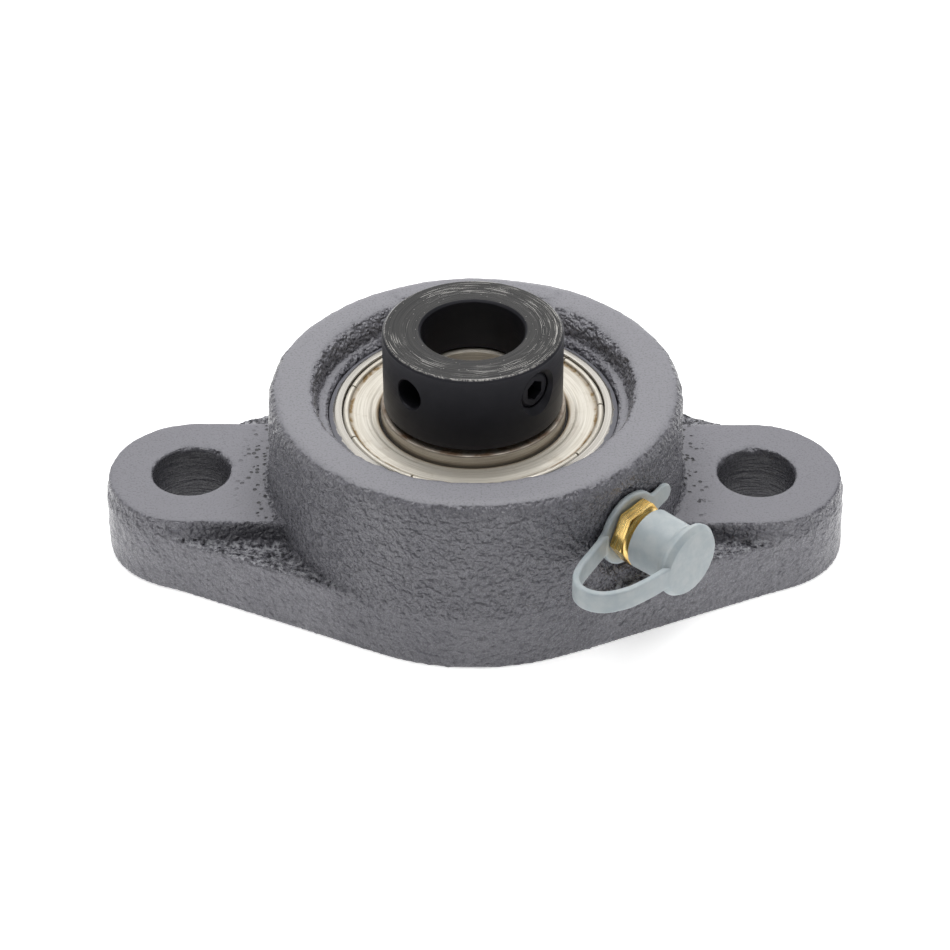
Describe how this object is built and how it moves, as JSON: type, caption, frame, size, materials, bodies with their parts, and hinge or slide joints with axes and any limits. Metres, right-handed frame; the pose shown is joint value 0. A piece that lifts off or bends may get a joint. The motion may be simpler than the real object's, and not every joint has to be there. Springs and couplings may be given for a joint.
{
  "type": "flange mount bearing",
  "caption": "Two-bolt cast flange housing with a self-aligning ball bearing insert, an eccentric locking collar and a capped grease nipple.",
  "frame": {"origin": "on the shaft axis, in the plane of the flange's mounting face", "axes": "+Z along the shaft from the mounting face towards the locking collar, +X along the line of the two bolts, the grease nipple in the +X -Y quarter"},
  "size_m": [0.1172, 0.0733, 0.0403],
  "materials": {
    "cast_paint": "grey paint over a sand-cast surface",
    "bearing_steel": "ground",
    "shield_steel": "pressed, slightly yellowed zinc",
    "black_oxide": "black oxide, turned, rubbed bright on the edges",
    "seal_rubber": "moulded",
    "brass": "machined hexagon bar",
    "cap_plastic": "soft translucent polyethylene",
    "cage_steel": "pressed strip"
  },
  "bodies": {
    "housing": {"housing": "cast_paint", "nipple_body": "brass", "nipple_spring": "bearing_steel", "cap_washer": "cap_plastic", "cap_strap": "cap_plastic"},
    "insert": {"outer_ring": "bearing_steel", "shield_front": "shield_steel", "shield_rear": "shield_steel", "seal_front": "seal_rubber", "seal_rear": "seal_rubber"},
    "inner_ring": {"inner_ring": "bearing_steel"},
    "collar": {"locking_collar": "black_oxide"},
    "set_screw": {"set_screw": "black_oxide"},
    "cage": {"cage_upper": "cage_steel", "cage_lower": "cage_steel", "cage_rivet_1": "cage_steel", "cage_rivet_2": "cage_steel", "cage_rivet_3": "cage_steel", "cage_rivet_4": "cage_steel", "cage_rivet_5": "cage_steel", "cage_rivet_6": "cage_steel", "cage_rivet_7": "cage_steel", "cage_rivet_8": "cage_steel"},
    "ball_1": {"ball_1": "bearing_steel"},
    "ball_2": {"ball_2": "bearing_steel"},
    "ball_3": {"ball_3": "bearing_steel"},
    "ball_4": {"ball_4": "bearing_steel"},
    "ball_5": {"ball_5": "bearing_steel"},
    "ball_6": {"ball_6": "bearing_steel"},
    "ball_7": {"ball_7": "bearing_steel"},
    "ball_8": {"ball_8": "bearing_steel"},
    "nipple_cap": {"nipple_cap": "cap_plastic"},
    "check_ball": {"nipple_check_ball": "bearing_steel"}
  },
  "joints": [
    {"name": "insert_alignment", "type": "hinge", "parent": "housing", "child": "insert", "pos_m": [0, 0, 0.0187], "axis": [1, 0, 0], "range_deg": [-2.5, 2.5]},
    {"name": "shaft_spin", "type": "hinge", "parent": "insert", "child": "inner_ring", "pos_m": [0, 0, 0.0187], "axis": [0, 0, 1], "continuous": true},
    {"name": "cage_spin", "type": "hinge", "parent": "insert", "child": "cage", "pos_m": [0, 0, 0.0187], "axis": [0, 0, 1], "continuous": true},
    {"name": "collar_lock", "type": "hinge", "parent": "inner_ring", "child": "collar", "pos_m": [0, 0, 0.0313], "axis": [0, 0, 1], "range_deg": [-33, 33]},
    {"name": "set_screw_travel", "type": "slide", "parent": "collar", "child": "set_screw", "axis": [-0.7254, 0.6884, 0], "range_m": [-0.001, 0.002]},
    {"name": "cap_pull", "type": "slide", "parent": "housing", "child": "nipple_cap", "axis": [0.7314, -0.682, 0], "range_m": [0, 0.01], "deforming": ["cap_strap"]},
    {"name": "check_ball_lift", "type": "slide", "parent": "housing", "child": "check_ball", "axis": [-0.7314, 0.682, 0], "range_m": [0, 0.0009], "stiffness_N_per_m": 150, "springref_m": -0.0003, "deforming": ["nipple_spring"]},
    {"name": "ball_1_spin", "type": "hinge", "parent": "cage", "child": "ball_1", "pos_m": [0.01675, 0, 0.0187], "axis": [0, 0, 1], "continuous": true},
    {"name": "ball_2_spin", "type": "hinge", "parent": "cage", "child": "ball_2", "pos_m": [0.01184, 0.01184, 0.0187], "axis": [0, 0, 1], "continuous": true},
    {"name": "ball_3_spin", "type": "hinge", "parent": "cage", "child": "ball_3", "pos_m": [0, 0.01675, 0.0187], "axis": [0, 0, 1], "continuous": true},
    {"name": "ball_4_spin", "type": "hinge", "parent": "cage", "child": "ball_4", "pos_m": [-0.01184, 0.01184, 0.0187], "axis": [0, 0, 1], "continuous": true},
    {"name": "ball_5_spin", "type": "hinge", "parent": "cage", "child": "ball_5", "pos_m": [-0.01675, 0, 0.0187], "axis": [0, 0, 1], "continuous": true},
    {"name": "ball_6_spin", "type": "hinge", "parent": "cage", "child": "ball_6", "pos_m": [-0.01184, -0.01184, 0.0187], "axis": [0, 0, 1], "continuous": true},
    {"name": "ball_7_spin", "type": "hinge", "parent": "cage", "child": "ball_7", "pos_m": [0, -0.01675, 0.0187], "axis": [0, 0, 1], "continuous": true},
    {"name": "ball_8_spin", "type": "hinge", "parent": "cage", "child": "ball_8", "pos_m": [0.01184, -0.01184, 0.0187], "axis": [0, 0, 1], "continuous": true}
  ],
  "couplings": [
    {"joint": "cage_spin", "follows": "shaft_spin", "ratio": 0.38152},
    {"joint": "ball_1_spin", "follows": "shaft_spin", "ratio": -1.9916},
    {"joint": "ball_2_spin", "follows": "shaft_spin", "ratio": -1.9916},
    {"joint": "ball_3_spin", "follows": "shaft_spin", "ratio": -1.9916},
    {"joint": "ball_4_spin", "follows": "shaft_spin", "ratio": -1.9916},
    {"joint": "ball_5_spin", "follows": "shaft_spin", "ratio": -1.9916},
    {"joint": "ball_6_spin", "follows": "shaft_spin", "ratio": -1.9916},
    {"joint": "ball_7_spin", "follows": "shaft_spin", "ratio": -1.9916},
    {"joint": "ball_8_spin", "follows": "shaft_spin", "ratio": -1.9916}
  ]
}
